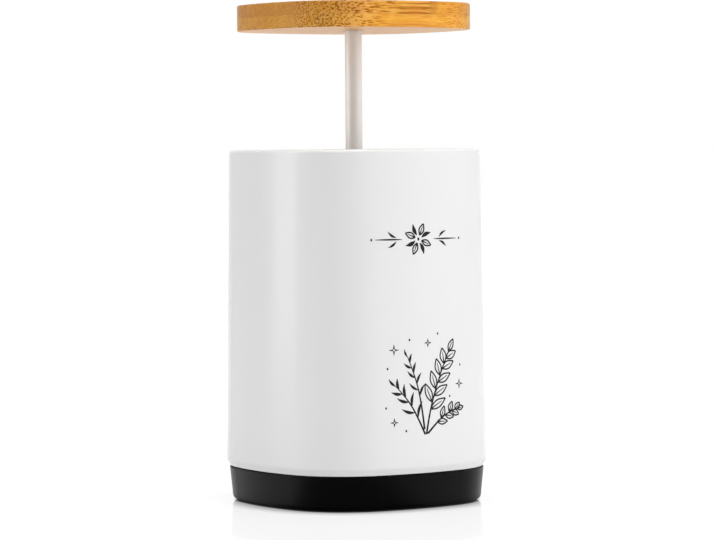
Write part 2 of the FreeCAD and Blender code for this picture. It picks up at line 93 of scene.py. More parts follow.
def plug(tree, into, name, value):
    socket = into.inputs[int(name[1:]) if name[0] == "i" and name[1:].isdigit() else name]
    if isinstance(value, bpy.types.NodeSocket):
        tree.links.new(value, socket)
    else:
        socket.default_value = value


def addNode(tree, kind, settings=None, **sockets):
    made = tree.nodes.new("ShaderNode" + kind)
    for key, value in (settings or {}).items():
        setattr(made, key, value)
    for key, value in sockets.items():
        plug(tree, made, key.replace("_", " "), value)
    return made


def maths(tree, operation, a, b=0.0, clamp=False):
    made = addNode(tree, "Math", {"operation": operation, "use_clamp": clamp}, i0=a, i1=b)
    return made.outputs[0]


def times(tree, a, b, clamp=False):
    return maths(tree, "MULTIPLY", a, b, clamp)


def remap(tree, value, fromMin, fromMax, toMin=0.0, toMax=1.0, smooth=False):
    made = addNode(tree, "MapRange", {"interpolation_type": "SMOOTHSTEP" if smooth else "LINEAR"},
                   Value=value, From_Min=fromMin, From_Max=fromMax, To_Min=toMin, To_Max=toMax)
    return made.outputs[0]


def mixColours(tree, factor, a, b, how="MIX"):
    made = addNode(tree, "Mix", {"data_type": "RGBA", "blend_type": how}, i0=factor, i6=a, i7=b)
    return made.outputs[2]


def noise(tree, place, scale, detail=2.0, roughness=0.5):
    made = addNode(tree, "TexNoise", Vector=place, Scale=scale, Detail=detail, Roughness=roughness)
    return made.outputs["Fac"]


def stretched(tree, place, scale):
    return addNode(tree, "Mapping", Vector=place, Scale=scale).outputs[0]


def stretchedNoise(tree, place, scale, detail=2.0, roughness=0.5):
    return noise(tree, stretched(tree, place, scale), 1, detail, roughness)


def around(tree, noiseValue, middle, reach):
    # a noise spread to both sides of a middle value
    return remap(tree, noiseValue, *noiseSpread, middle - reach, middle + reach)


def newMaterial(name):
    material = bpy.data.materials.new(name)
    material.use_nodes = True
    material.node_tree.nodes.clear()
    return material, material.node_tree


def objectPlace(tree):
    return addNode(tree, "TexCoord").outputs["Object"]


# floor, world and lamps

studio = {
    "ambient": 0.2,        # world level that lights the object
    # where reflections see the room and the floor darker: degrees from the front to the left,
    # cosine from there where that starts and where it is full, how much darker
    "roomDark": (0, 0.35, 0.7, 0.97),
    "floorDark": (3, 0.63, 0.87, 0.75),
    "floorTone": 0.745,    # the floor that lights the object from below
    "floorShown": 0.25,    # the floor that is seen: this much of its light and shade
    "floorGlow": 0.77,     # and this much of its own
    "floorGloss": 0.13,
    "footGloss": 0.56,     # right at the foot of the object
    "footShade": 0.4,      # how bright reflections see the floor there
    "footReach": 8,
    "footOpen": 0.5,       # how open the floor is where the foot's values hold
    "openSamples": 16,     # for finding how open it is
    "floorRoughness": 0.08,
    "floorHalf": 3000,
    "paperGrain": (900, 3),    # per metre, detail
    "paperReach": 0.01,        # how much the grain lightens and darkens it
    "glowFrom": 100,       # the glow grows to full white between these distances
    "glowTo": 300,
    "darkFrom": 15,        # the dark part of the floor fades in between these distances
    "darkTo": 35,
    "contactReach": 0.7,   # how far the shade under the base reaches
    "contactPower": 2.0,
}

lamps = {
    # name: azimuth from the camera in degrees, height, distance, width, length, watts, seen in gloss
    "left": (-86, 300, 800, 350, 1200, 2.81, True),
    "front": (18, 300, 800, 420, 1200, 3.13, False),
    "right": (50, 300, 800, 420, 1200, 0.5, False),
    "side": (82, 300, 800, 420, 1200, 3.46, False),
    "back": (180, 300, 800, 500, 1200, 3.0, False),
    "top": (0, 1000, 20, 700, 700, 7.4, True),
}


def seenDirectly(tree, glossy):
    # 1 for camera and transmission rays, and this much for glossy ones
    path = addNode(tree, "LightPath")
    gloss = times(tree, path.outputs["Is Glossy Ray"], glossy)
    some = maths(tree, "MAXIMUM", path.outputs["Is Camera Ray"], gloss)
    return maths(tree, "MAXIMUM", some, path.outputs["Is Transmission Ray"])


def glossShare(tree, direction, aside, start, full, darkness):
    # how bright reflections see the surroundings in a direction
    turn = math.radians(camera["azimuth"] + aside)
    front = addNode(tree, "VectorMath", {"operation": "DOT_PRODUCT"}, i0=direction,
                    i1=(-math.sin(turn), -math.cos(turn), 0)).outputs["Value"]
    return remap(tree, front, start, full, 1.0, 1 - darkness, smooth=True)


def addWorld(s):
    world = bpy.data.worlds.new("studio")
    world.use_nodes = True
    tree = world.node_tree
    tree.nodes.clear()
    share = glossShare(tree, addNode(tree, "TexCoord").outputs["Generated"], *s["roomDark"])
    level = remap(tree, seenDirectly(tree, share), 0, 1, s["ambient"], 1.0)
    background = addNode(tree, "Background", Color=(1, 1, 1, 1), Strength=level)
    addNode(tree, "OutputWorld", Surface=background.outputs[0])
    scene.world = world


def addFloor(s):
    bm = bmesh.new()
    bmesh.ops.create_grid(bm, x_segments=2, y_segments=2, size=s["floorHalf"] * mm)
    mesh = bpy.data.meshes.new("floor")
    bm.to_mesh(mesh)
    bm.free()
    floor = bpy.data.objects.new("floor", mesh)
    scene.collection.objects.link(floor)
    material, tree = newMaterial("floorPaper")
    place = objectPlace(tree)
    fibre = noise(tree, place, *s["paperGrain"])
    away = addNode(tree, "VectorMath", {"operation": "LENGTH"}, i0=place).outputs["Value"]
    direction = addNode(tree, "VectorMath", {"operation": "NORMALIZE"}, i0=place).outputs[0]
    far = remap(tree, away, s["darkFrom"] * mm, s["darkTo"] * mm)
    clear, touching = (addNode(tree, "AmbientOcclusion", {"samples": s["openSamples"]},
                               Distance=s[key] * mm).outputs["AO"]
                       for key in ("footReach", "contactReach"))
    share = times(tree, remap(tree, clear, s["footOpen"], 1.0, s["footShade"], 1.0),
                  remap(tree, far, 0, 1, 1.0, glossShare(tree, direction, *s["floorDark"])))
    inGloss = addNode(tree, "LightPath").outputs["Is Glossy Ray"]
    dimmed = remap(tree, inGloss, 0, 1, 1.0, share)
    paper, shade = (addNode(tree, "BsdfDiffuse",
                            Color=times(tree, around(tree, fibre, s[key], s["paperReach"]), dimmed))
                    for key in ("floorTone", "floorShown"))
    strength = remap(tree, away, s["glowFrom"] * mm, s["glowTo"] * mm, s["floorGlow"], 1.0)
    strength = times(tree, strength, maths(tree, "POWER", touching, s["contactPower"]))
    glow = addNode(tree, "Emission", Color=(1, 1, 1, 1), Strength=strength)
    lit = addNode(tree, "AddShader", i0=shade.outputs[0], i1=glow.outputs[0])
    mirror = addNode(tree, "BsdfAnisotropic", Color=(1, 1, 1, 1), Roughness=s["floorRoughness"])
    gloss = remap(tree, clear, s["footOpen"], 1.0, s["footGloss"], s["floorGloss"])
    shown = addNode(tree, "MixShader", i0=gloss, i1=lit.outputs[0], i2=mirror.outputs[0])
    chosen = addNode(tree, "MixShader", i0=seenDirectly(tree, share), i1=paper.outputs[0],
                     i2=shown.outputs[0])
    addNode(tree, "OutputMaterial", Surface=chosen.outputs[0])
    mesh.materials.append(material)


def addLamps(rows):
    for name, (azimuth, height, distance, width, length, watts, inGloss) in rows.items():
        turn = math.radians(azimuth - camera["azimuth"])
        place = Vector((distance * math.sin(turn), -distance * math.cos(turn), height)) * mm
        target = Vector((0, 0, 0 if name == "top" else height * mm))
        data = bpy.data.lights.new(name, "AREA")
        data.shape = "RECTANGLE"
        data.size, data.size_y = width * mm, length * mm
        data.energy = watts
        lamp = bpy.data.objects.new(name, data)
        lamp.location = place
        lamp.visible_glossy = inGloss
        lamp.rotation_euler = (place - target).to_track_quat("Z", "Y").to_euler()
        scene.collection.objects.link(lamp)


addWorld(studio)
addFloor(studio)
addLamps(lamps)
print("studio ready")


# levels of the imported pieces, from their meshes

def levels(node):
    low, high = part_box(node)
    return low.z / mm, high.z / mm


seamLevel, rimLevel = levels("outer_shell")
lidLevel, lidTopLevel = levels("bamboo_lid")


# the rounded-square outline that the shell, the base and the lid share

outline = {
    "halfWidth": 32.05,    # at the rim
    "sideRadius": 70.9,
    "cornerRadius": 21.2,
    "draft": 0.9,          # degrees
    "sideSteps": 16,
    "cornerSteps": 26,
    "edgeSteps": 7,        # across a rounded edge
}
sideCentre = outline["sideRadius"] - outline["halfWidth"]
arcSpan = outline["sideRadius"] - outline["cornerRadius"]
cornerCentre = (math.sqrt(2 * arcSpan ** 2 - sideCentre ** 2) - sideCentre) / 2
halfSweep = math.atan2(cornerCentre, cornerCentre + sideCentre)


def drafted(height):
    # how far the shell's side stands out from the rim's outline at a height
    return (rimLevel - height) * math.tan(math.radians(outline["draft"]))


def layProfile(bm, corners, closed):
    # wire at the middle of the +X side: (inset, height, rounding) for each corner
    verts = [bm.verts.new(((outline["halfWidth"] - inset) * mm, 0, height * mm))
             for inset, height, _ in corners]
    ends = verts[1:] + ([verts[0]] if closed else [])
    for start, end in zip(verts, ends):
        bm.edges.new((start, end))
    for vert, (_, _, rounding) in zip(verts, corners):
        if rounding:
            bmesh.ops.bevel(bm, geom=[vert], offset=rounding * mm, offset_type="OFFSET",
                            segments=outline["edgeSteps"], profile=0.5, affect="VERTICES", material=-1)


def sweepRound(bm):
    # spins the wire about the outline's eight arc centres in turn
    geom = bm.verts[:] + bm.edges[:]
    sideAt, cornerAt = Vector((-sideCentre * mm, 0, 0)), Vector((cornerCentre, cornerCentre, 0)) * mm
    legs = [(sideAt, 0, halfSweep, outline["sideSteps"] // 2)]
    for quarter in range(4):
        last = quarter == 3
        legs.append((cornerAt, quarter, math.pi / 2 - 2 * halfSweep, outline["cornerSteps"]))
        legs.append((sideAt, quarter + 1, halfSweep * (1 if last else 2),
                     outline["sideSteps"] // (2 if last else 1)))
    for centre, quarter, angle, steps in legs:
        turned = Matrix.Rotation(math.radians(90 * quarter), 3, "Z") @ centre
        spun = bmesh.ops.spin(bm, geom=geom, cent=turned, axis=(0, 0, 1), dvec=(0, 0, 0), angle=angle,
                              steps=steps, use_merge=False, use_duplicate=False)
        geom = spun["geom_last"]
    bmesh.ops.remove_doubles(bm, verts=bm.verts[:], dist=weldWithin)
    bmesh.ops.recalc_face_normals(bm, faces=bm.faces[:])


def toObject(bm, name, body, sharpAngle=40):
    mesh = bpy.data.meshes.new(name)
    bm.to_mesh(mesh)
    bm.free()
    mesh.shade_smooth()
    mesh.set_sharp_from_angle(angle=math.radians(sharpAngle))
    piece = bpy.data.objects.new(name, mesh)
    scene.collection.objects.link(piece)
    weighted = piece.modifiers.new("weightedNormals", "WEIGHTED_NORMAL")
    weighted.keep_sharp = True
    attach(piece, body)
    return piece


# outer shell: the white skin with its rolled rim, lid recess and turned-in hem

shell = {
    "hemHeight": 1.8,
    "hemInset": 0.95,
    "hemEdge": 0.15,
    "hemRounding": 0.3,
    "wall": 2.4,
    "rimWall": 1.9,
    "rimRounding": 0.9,
    "deckDepth": 5.4,      # from the rim down to the deck
    "deckThickness": 2.0,
    "deckOpening": 4.2,
    "deckEdge": 0.1,
    "deckFillet": 0.3,
    "wallEdge": 0.1,
}


def makeShell(s):
    hem = seamLevel + s["hemHeight"]
    deckTop = rimLevel - s["deckDepth"]
    deckUnderside = deckTop - s["deckThickness"]
    bm = bmesh.new()
    layProfile(bm, [
        (s["hemInset"] - drafted(seamLevel), seamLevel, s["hemEdge"]),
        (-drafted(hem), hem, s["hemRounding"]),
        (0, rimLevel, s["rimRounding"]),
        (s["rimWall"], rimLevel, s["rimRounding"]),
        (s["rimWall"], deckTop, 0),
        (s["deckOpening"], deckTop, s["deckEdge"]),
        (s["deckOpening"], deckUnderside, s["deckEdge"]),
        (s["wall"] - drafted(deckUnderside), deckUnderside, s["deckFillet"]),
        (s["wall"] - drafted(seamLevel), seamLevel, s["wallEdge"]),
    ], closed=True)
    sweepRound(bm)
    piece = toObject(bm, "shellSkin", "body")
    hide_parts("outer_shell")


makeShell(shell)
print("shell made")


# bamboo lid: two plies of strips pressed together, with hairline joints

lid = {
    "inset": 2.5,
    "edge": 0.35,          # eased outer edges
    "joint": 0.06,         # bevel on each side of a joint
    "upperCuts": (-10.4, 9.3),
    "lowerCuts": (-19.2, 1.1, 20.3),
    "holeRadius": 3.25,
    "holeDepth": 5.0,
    "holeSteps": 64,
    "jointSteps": 2,
    "lip": 3,              # of top and bottom swept with the edge; the middle is filled
    "toneStep": 0.137,     # from strip to strip, kept on their faces for the finish
    "sharpAngle": 30,
}


def makeStrip(bottom, top, near, far, s):
    # one strip of a ply, between two planes across Y
    easedBottom = s["edge"] if bottom == lidLevel else s["joint"]
    easedTop = s["edge"] if top == lidTopLevel else s["joint"]
    bm = bmesh.new()
    layProfile(bm, [
        (s["inset"] + s["lip"], bottom, 0),
        (s["inset"], bottom, easedBottom),
        (s["inset"], top, easedTop),
        (s["inset"] + s["lip"], top, 0),
    ], closed=False)
    sweepRound(bm)
    bmesh.ops.holes_fill(bm, edges=[edge for edge in bm.edges if edge.is_boundary], sides=0)
    for at, outward in ((near, -1), (far, 1)):
        if at is None:
            continue
        cut = bmesh.ops.bisect_plane(bm, geom=bm.verts[:] + bm.edges[:] + bm.faces[:], dist=cutWithin,
                                     plane_co=(0, at * mm, 0), plane_no=(0, outward, 0), clear_outer=True)
        rim = [item for item in cut["geom_cut"] if isinstance(item, bmesh.types.BMEdge)]
        bmesh.ops.holes_fill(bm, edges=rim, sides=0)
        bmesh.ops.bevel(bm, geom=rim, offset=s["joint"] * mm, offset_type="OFFSET",
                        segments=s["jointSteps"], profile=0.5, affect="EDGES", material=-1)
    bmesh.ops.recalc_face_normals(bm, faces=bm.faces[:])
    return bm


def boreStrip(bm, s):
    # the insert's hole, bored into a strip
    strip = bpy.data.objects.new("strip", bpy.data.meshes.new("strip"))
    bm.to_mesh(strip.data)
    cutter = bpy.data.objects.new("cutter", bpy.data.meshes.new("cutter"))
    drill = bmesh.new()
    bmesh.ops.create_cone(drill, cap_ends=True, segments=s["holeSteps"], radius1=s["holeRadius"] * mm,
                          radius2=s["holeRadius"] * mm, depth=2 * s["holeDepth"] * mm,
                          matrix=Matrix.Translation((0, 0, lidLevel * mm)))
    drill.to_mesh(cutter.data)
    drill.free()
    for item in (strip, cutter):
        scene.collection.objects.link(item)
    bore = strip.modifiers.new("bore", "BOOLEAN")
    bore.operation, bore.solver, bore.object = "DIFFERENCE", "MANIFOLD", cutter
    bored = bpy.data.meshes.new_from_object(strip.evaluated_get(bpy.context.evaluated_depsgraph_get()))
    bm.clear()
    bm.from_mesh(bored)
    for item in (strip, cutter):
        bpy.data.objects.remove(item)


def makeLid(s):
    middle = (lidLevel + lidTopLevel) / 2
    board = bmesh.new()
    tone = board.faces.layers.float.new("strip")
    number = 0
    for bottom, top, cuts in ((lidLevel, middle, s["lowerCuts"]), (middle, lidTopLevel, s["upperCuts"])):
        for near, far in zip((None,) + cuts, cuts + (None,)):
            bm = makeStrip(bottom, top, near, far, s)
            if (near is None or near < s["holeRadius"]) and (far is None or far > -s["holeRadius"]):
                boreStrip(bm, s)
            number += 1
            mesh = bpy.data.meshes.new("strip")
            bm.to_mesh(mesh)
            bm.free()
            before = len(board.faces)
            board.from_mesh(mesh)
            board.faces.ensure_lookup_table()
            for face in board.faces[before:]:
                face[tone] = number * s["toneStep"] % 1
    piece = toObject(board, "bambooBoard", "lift", s["sharpAngle"])
    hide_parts("bamboo_lid")


makeLid(lid)
print("lid made")


# print on the -Y side: a small rosette between two rules, and a spray of leaves below it

ink = {
    "film": 0.02,          # half its thickness
    "line": 0.46,          # a drawn line's width
    "strokeSteps": 6,
    # rosette: its middle as (across, height), then its petals
    "rosetteAt": (-1.2, 73.4),
    "petals": 8,
    "petalTurn": 22.5,
    "petalStart": 1.15,
    "petalLength": 3.3,
    "petalPlump": 0.72,
    "eye": 1.0,
    # a rule on each side of it, as (along, width), with a dot at its end and two leaves
    "rule": ((0, 0.15), (0.2, 0.5), (0.7, 0.5), (1, 0.15)),
    "ruleStart": 5.2,
    "ruleLength": 8.0,
    "ruleDot": 0.8,
    "ruleDotGap": 1.1,
    "ruleLeafAt": 1.8,
    "ruleLeafAside": 0.5,
    "ruleLeafLength": 3.0,
    "ruleLeafTilt": 34,
    "ruleLeafPlump": 0.42,
    # a leaf: (along, width) of a filled one and of a vein, (along, out) of a drawn edge
    "leafBody": ((0, 0.25), (0.25, 1.5), (0.5, 2.0), (0.8, 1.0), (1, 0.12)),
    "leafBend": 0.4,
    "leafEdge": ((0, 0), (0.2, 0.75), (0.5, 1.15), (0.8, 0.6), (1, 0)),
    "leafVein": ((0, 1), (0.4, 0.8), (0.75, 0.4)),
    # sprigs: the stem, how far up it the leaves start, how many, their length and plumpness, filled
    "sprigs": (
        (((0.5, 20.4), (1.6, 26.0), (3.6, 32.0), (6.2, 38.0), (8.6, 42.6)), 0.3, 9, 6.8, 1.0, False),
        (((0.1, 20.4), (-2.4, 25.5), (-5.6, 30.4), (-9.0, 33.8)), 0.3, 7, 5.4, 0.55, True),
        (((-0.1, 21.8), (-1.0, 29.0), (-2.8, 36.0), (-5.2, 41.5)), 0.42, 7, 4.6, 0.46, True),
        (((1.0, 20.6), (4.6, 24.0), (8.6, 26.2), (11.6, 26.8)), 0.3, 6, 4.2, 0.75, False),
    ),
    "stemFoot": 1.5,       # in lines
    "stemTaper": 0.9,      # lost by the tip
    "leavesEnd": 0.9,
    "leafShrink": 0.45,    # over the whole stem
    "leafAngle": 48,       # from the stem, at its foot
    "leafAngleLoss": 14,
    "tipLength": 0.55,     # the leaf at the tip, as shares of the others
    "tipPlump": 0.8,
    # sparks as (across, height, reach), their rays as (along, width in lines), and small dots
    "sparks": ((-9.4, 43.6, 1.5), (1.4, 45.2, 1.2), (12.4, 33.6, 1.4), (-9.6, 24.0, 1.2)),
    "ray": ((0.18, 1.3), (0.6, 0.8), (1, 0.2)),
    "dots": ((-11.4, 38.6), (-4.6, 46.2), (4.8, 47.6), (12.8, 38.8), (8.8, 30.4), (-6.0, 21.6),
             (-12.0, 28.0)),
    "dot": 0.75,
    "dotReach": 0.3,       # half a dot's length and its ends' width, as shares of its width
    "dotEnd": 0.6,
}


def addStroke(curve, points):
    # a line through (across, height, width) points, as wide as each says
    spline = curve.splines.new("NURBS")
    spline.points.add(len(points) - 1)
    for point, (across, height, width) in zip(spline.points, points):
        point.co = (across * mm, 0, height * mm, 1)
        point.radius = width / 2
    spline.use_endpoint_u = True
    spline.order_u = 3
    spline.resolution_u = ink["strokeSteps"]


def swung(origin, length, angle, aside=0.0):
    # a point that far along a direction, and a bit to its left
    a = math.radians(angle)
    return (origin[0] + length * math.cos(a) - aside * math.sin(a),
            origin[1] + length * math.sin(a) + aside * math.cos(a))


def addLeaf(curve, base, length, angle, plump, filled):
    if filled:
        bend = length * ink["leafBend"]
        addStroke(curve, [(*swung(base, length * along, angle, bend * along * (1 - along)), plump * width)
                          for along, width in ink["leafBody"]])
        return
    for side in (-1, 1):
        addStroke(curve, [(*swung(base, length * along, angle, side * plump * out), ink["line"])
                          for along, out in ink["leafEdge"]])
    addStroke(curve, [(*swung(base, length * along, angle), ink["line"] * width)
                      for along, width in ink["leafVein"]])


def addSprig(curve, stem, first, leaves, length, plump, filled):
    # a stem with leaves on alternate sides that grow shorter towards its tip
    last = len(stem) - 1
    addStroke(curve, [(x, z, ink["line"] * (ink["stemFoot"] - ink["stemTaper"] * i / last))
                      for i, (x, z) in enumerate(stem)])
    for i in range(leaves):
        along = first + (ink["leavesEnd"] - first) * i / (leaves - 1)
        at = min(int(along * last), last - 1)
        share = along * last - at
        (x0, z0), (x1, z1) = stem[at], stem[at + 1]
        base = (x0 + (x1 - x0) * share, z0 + (z1 - z0) * share)
        heading = math.degrees(math.atan2(z1 - z0, x1 - x0))
        heading += (1 if i % 2 else -1) * (ink["leafAngle"] - ink["leafAngleLoss"] * along)
        addLeaf(curve, base, length * (1 - ink["leafShrink"] * along), heading, plump, filled)
    heading = math.degrees(math.atan2(stem[-1][1] - stem[-2][1], stem[-1][0] - stem[-2][0]))
    addLeaf(curve, stem[-1], length * ink["tipLength"], heading, plump * ink["tipPlump"], filled)


def addDot(curve, x, z, width):
    reach, end = width * ink["dotReach"], width * ink["dotEnd"]
    addStroke(curve, [(x - reach, z, end), (x - reach / 2, z, width), (x + reach / 2, z, width),
                      (x + reach, z, end)])


def addSpark(curve, x, z, reach):
    for angle in (0, 90, 180, 270):
        addStroke(curve, [(*swung((x, z), reach * along, angle), ink["line"] * width)
                          for along, width in ink["ray"]])


def addRosette(curve, s):
    for i in range(s["petals"]):
        angle = 360 * i / s["petals"] + s["petalTurn"]
        addLeaf(curve, swung(s["rosetteAt"], s["petalStart"], angle), s["petalLength"], angle,
                s["petalPlump"], i % 2 == 0)
    addDot(curve, *s["rosetteAt"], s["eye"])


def addRules(curve, s):
    middle, height = s["rosetteAt"]
    for side in (-1, 1):
        start = middle + side * s["ruleStart"]
        addStroke(curve, [(start + side * s["ruleLength"] * along, height, width)
                          for along, width in s["rule"]])
        addDot(curve, start + side * (s["ruleLength"] + s["ruleDotGap"]), height, s["ruleDot"])
        for tilt in (-1, 1):
            foot = (start + side * s["ruleLeafAt"], height + tilt * s["ruleLeafAside"])
            angle = 90 - side * 90 + side * tilt * s["ruleLeafTilt"]
            addLeaf(curve, foot, s["ruleLeafLength"], angle, s["ruleLeafPlump"], True)


def makePrint(s):
    curve = bpy.data.curves.new("print", "CURVE")
    curve.dimensions = "3D"
    curve.bevel_depth = mm
    curve.bevel_resolution = 1
    curve.use_fill_caps = True
    addRosette(curve, s)
    addRules(curve, s)
    for sprig in s["sprigs"]:
        addSprig(curve, *sprig)
    for spark in s["sparks"]:
        addSpark(curve, *spark)
    for dot in s["dots"]:
        addDot(curve, *dot, s["dot"])
    flat = bpy.data.objects.new("print", curve)
    scene.collection.objects.link(flat)
    mesh = bpy.data.meshes.new_from_object(flat.evaluated_get(bpy.context.evaluated_depsgraph_get()))
    bpy.data.objects.remove(flat)
    bm = bmesh.new()
    bm.from_mesh(mesh)
    # press the strokes flat and lay them on the curved side
    film = s["film"] * mm
    for vert in bm.verts:
        radius = outline["sideRadius"] * mm + drafted(vert.co.z / mm) * mm
        side = sideCentre * mm - math.sqrt(radius ** 2 - vert.co.x ** 2)
        vert.co.y = side + max(-film, min(film, vert.co.y)) - film / 2
    bmesh.ops.remove_doubles(bm, verts=bm.verts[:], dist=weldWithin)
    bmesh.ops.recalc_face_normals(bm, faces=bm.faces[:])
    return toObject(bm, "sidePrint", "body")


sidePrint = makePrint(ink)
print("print made:", len(sidePrint.data.polygons), "faces")


# finishes

def principled(tree, colour, roughness, bump, **constants):
    surface = addNode(tree, "BsdfPrincipled", Base_Color=colour, Roughness=roughness, Normal=bump,
                      **constants)
    addNode(tree, "OutputMaterial", Surface=surface.outputs[0])


def addBump(tree, height, depth, strength=1.0):
    return addNode(tree, "Bump", Strength=strength, Distance=depth * mm, Height=height).outputs[0]


def grey(level, warmth):
    return (level * (1 + warmth), level, level * (1 - warmth), 1)


plastics = {
    # name: light tone, worn tone, roughness, specular, texture depth, warmth, pearl
    "shellPlastic": (0.84, 0.82, 0.22, 0.5, 0.0003, 0.0, 0.0),
    "linerPlastic": (0.80, 0.77, 0.36, 0.5, 0.0010, 0.004, 0.0),
    "trayPlastic": (0.79, 0.76, 0.40, 0.5, 0.0012, 0.004, 0.0),
    "basePlastic": (0.0004, 0.0008, 0.31, 0.10, 0.0006, 0.0, 0.0),
    "footRubber": (0.030, 0.045, 0.72, 0.3, 0.0060, 0.0, 0.0),
    "ringSilicone": (0.60, 0.55, 0.50, 0.5, 0.0020, 0.01, 0.0),
    "rodEnamel": (0.85, 0.83, 0.44, 0.5, 0.0003, 0.03, 0.25),
    "printInk": (0.006, 0.010, 0.42, 0.3, 0.0006, 0.0, 0.0),
}


moulding = {
    # patterns: scale per metre, detail, roughness
    "grain": (2600, 3, 0.6),           # spark texture
    "flow": ((18, 18, 6), 3),          # flow marks
    "rubbed": (55, 4, 0.6),            # rubbed patches
    "rubbedFrom": (0.45, 0.75),
    "flowShare": 0.35,                 # how much of the worn tone each brings
    "grainShare": 0.2,
    "roughnessReach": 0.02,
    "rubbedRoughness": -0.012,
}


def plasticFinish(name, light, worn, roughness, specular, depth, warmth, pearl):
    # satin moulding: fine spark texture, faint flow marks, rubbed patches
    m = moulding
    material, tree = newMaterial(name)
    place = objectPlace(tree)
    grain = noise(tree, place, *m["grain"])
    flow = stretchedNoise(tree, place, *m["flow"])
    rubbed = remap(tree, noise(tree, place, *m["rubbed"]), *m["rubbedFrom"], smooth=True)
    tone = mixColours(tree, times(tree, remap(tree, flow, *noiseSpread), m["flowShare"], True),
                      grey(light, warmth), grey(worn, warmth))
    tone = mixColours(tree, times(tree, grain, m["grainShare"]), tone, grey(worn, warmth))
    rough = maths(tree, "ADD", around(tree, grain, roughness, m["roughnessReach"]),
                  times(tree, rubbed, m["rubbedRoughness"]))
    principled(tree, tone, rough, addBump(tree, grain, depth), Specular_IOR_Level=specular, Metallic=pearl)
    return material


metals = {
    # name: colour, roughness
    "screwSteel": ((0.58, 0.58, 0.56), 0.28),
    "insertBrass": ((0.46, 0.30, 0.12), 0.5),
}


turning = {
    "rings": ((300, 300, 9000), 2),    # scale per metre, fine along Z, and detail
    "ringDepth": 0.004,
    "roughnessReach": 0.06,
    "dull": (700, 3),                  # dulled patches
    "dullFrom": (0.4, 0.7),
    "dullShare": 0.4,
    "dullTone": 0.7,
    "dullRoughness": 0.12,
}


def metalFinish(name, colour, roughness):
    # turned metal: fine rings about Z, dulled in patches
    t = turning
    material, tree = newMaterial(name)
    place = objectPlace(tree)
    rings = stretchedNoise(tree, place, *t["rings"])
    dull = remap(tree, noise(tree, place, *t["dull"]), *t["dullFrom"], smooth=True)
    tone = mixColours(tree, times(tree, dull, t["dullShare"]), (*colour, 1),
                      (*[part * t["dullTone"] for part in colour], 1))
    rough = maths(tree, "ADD", around(tree, rings, roughness, t["roughnessReach"]),
                  times(tree, dull, t["dullRoughness"]))
    principled(tree, tone, rough, addBump(tree, rings, t["ringDepth"]), Metallic=1.0)
    return material


bamboo = {
    "light": (1.0, 0.53, 0.064, 1),
    "honey": (0.77, 0.287, 0.031, 1),
    "pale": (1.0, 0.63, 0.19, 1),
    "fibre": (0.32, 0.075, 0.003, 1),
    "node": (0.42, 0.16, 0.018, 1),
    # a pale tint painted on the underside as its grazing reflection
    "paintedSheenTint": (0.75, 0.80, 0.75, 1),
    "paintedSheenShare": 0.12,                        # painted reflection: how much of that pale tint the underside gets, standing in for its grazing sheen
    "upperFrom": 0.6,                      # strips with a tone above this make the upper ply
    "upperTint": (0.91, 0.86, 0.82, 1),    # which is a shade darker
    "endGrain": 0.76,                      # how much darker the ends are
    "paintedTopShade": 0.69,                    # and the top face, darkened as painted shade
    "roughness": 0.38,
    "rawRoughness": 0.37,                  # on the underside
    "roughnessReach": 0.05,
    "specular": 0.16,
    "bumpDepth": 0.03,
    "bumpStrength": 0.6,
    "fibreRelief": 0.6,                    # how far dark fibres sink, beside the streaks
    # how far a face looks up, or along the board, from where it starts to count to where it is full
    "topFrom": (0.4, 0.8),
    "underside": (-0.9, -0.5),             # from full to not at all
    "endsFrom": (0.25, 0.85),
    # patterns: scale per mm along, across and through the board, detail, roughness
    "streaks": ((0.03, 1.3, 1.3), 4, 0.6),
    "drift": ((0.02, 0.16, 0.3), 2),       # of the culm's tone
    "lines": ((0.02, 2.0, 2.0), 2, 0.6),   # fibre bundles that run along a side
    "patches": ((0.05, 0.2, 0.45), 2),     # where the dots are stronger
    "wander": ((0.02, 0.12, 0.2), 3),      # of the knuckles
    "dots": (0.06, 2.1, 2.0),              # fibre bundles cut across
    "dotBend": (0.05, 0.5, 0.5),
    "dotBendReach": 0.5,
    "dotScatter": 0.95,
    "stripJump": (173, 61, 29),            # moves a strip's patterns, times its tone, in mm
    # from and to in a pattern, and what it becomes: below 0 dark, above 0 pale
    "dotTone": (0.24, 0.58, -1.35, 0.75),
    "lineTone": (0.41, 0.59, -0.9, 0.75),
    "patchTone": (0.4, 0.65, 0.7, 1.1),
    # dots come as a side turns from the grain, weaken at the very ends and fade towards +X
    "dotsFrom": (0.1, 0.24),
    "dotsWeaken": (0.995, 0.94, 0.32, 1.0),
    "dotsFade": (0, 0.3, 1.0, 0.4),
    # lines fade towards the ends, and are weak but where the upper ply is figured
    "linesFade": (0.9, 0.3),
    "linesWeak": 0.3,
    "linesYield": 0.3,                     # how much of them dots take away
    "figured": (-22, 4.0),                 # in mm along the board
    "figuredFade": 3,
    "streakTone": (0.35, 0.68),            # from light to honey
    # how much of a colour each brings
    "driftHoney": 0.5,
    "stripHoney": 0.2,
    "dotsHoney": 0.3,
    "knuckleNode": 0.5,
    "darkFibre": 0.8,
    "groundPale": 0.55,
    # knuckles, in mm along the board
    "knuckleSpacing": 62.0,
    "knuckleWander": 2.5,
    "knuckleEdge": (2.2, 0.6),
    "knuckleBreaks": (0.35, 0.65, 0.3, 1.0),
}


def bambooDots(tree, b, place):
    # fibre bundles where the board is cut across them: dark dots in a paler ground
    bent = addNode(tree, "TexNoise", Vector=stretched(tree, place, b["dotBend"]), Scale=1.0)
    bend = addNode(tree, "VectorMath", {"operation": "SCALE"}, i0=bent.outputs["Color"],
                   Scale=b["dotBendReach"]).outputs[0]
    cells = addNode(tree, "VectorMath", {"operation": "ADD"}, i0=stretched(tree, place, b["dots"]),
                    i1=bend).outputs[0]
    bundle = addNode(tree, "TexVoronoi", Vector=cells, Scale=1.0, Randomness=b["dotScatter"])
    return remap(tree, bundle.outputs["Distance"], *b["dotTone"], smooth=True)


